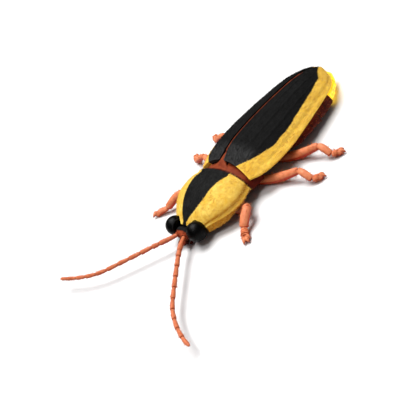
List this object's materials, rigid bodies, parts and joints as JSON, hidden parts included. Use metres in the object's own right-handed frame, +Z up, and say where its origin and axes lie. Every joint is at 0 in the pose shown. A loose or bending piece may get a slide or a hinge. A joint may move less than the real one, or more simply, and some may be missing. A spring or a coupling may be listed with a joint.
{
  "type": "firefly",
  "caption": "Life-size firefly beetle standing at rest, with long feelers, a striped neck shield, striped wing cases and a glowing tail.",
  "frame": {"origin": "on the floor, below the middle of the whole length from the feeler tips to the tail", "axes": "+Y towards the tail, the head towards -Y, +X towards the animal's left side, +Z up from the floor"},
  "size_m": [0.0178, 0.025, 0.0033],
  "materials": {
    "head_black": "satin chitin",
    "eye": "glossy facets",
    "limb_orange": "satin chitin",
    "body_red_brown": "satin chitin",
    "shield_yellow": "satin chitin",
    "wing_case": "fine leathery grain",
    "lantern": "translucent, glowing"
  },
  "bodies": {
    "root": {"head": "head_black", "eye_left": "eye", "eye_right": "eye", "antenna_left": "limb_orange", "antenna_right": "limb_orange", "mandible_left": "body_red_brown", "mandible_right": "body_red_brown", "palp_left": "limb_orange", "palp_right": "limb_orange", "pronotum": "shield_yellow", "prosternum": "body_red_brown", "thorax": "body_red_brown", "scutellum": "limb_orange", "elytron_left": "wing_case", "elytron_right": "wing_case", "abdomen": "body_red_brown", "lantern": "lantern", "tail_tip": "lantern", "front_leg_left": "limb_orange", "front_leg_right": "limb_orange", "middle_leg_left": "limb_orange", "middle_leg_right": "limb_orange", "hind_leg_left": "limb_orange", "hind_leg_right": "limb_orange"}
  },
  "joints": []
}
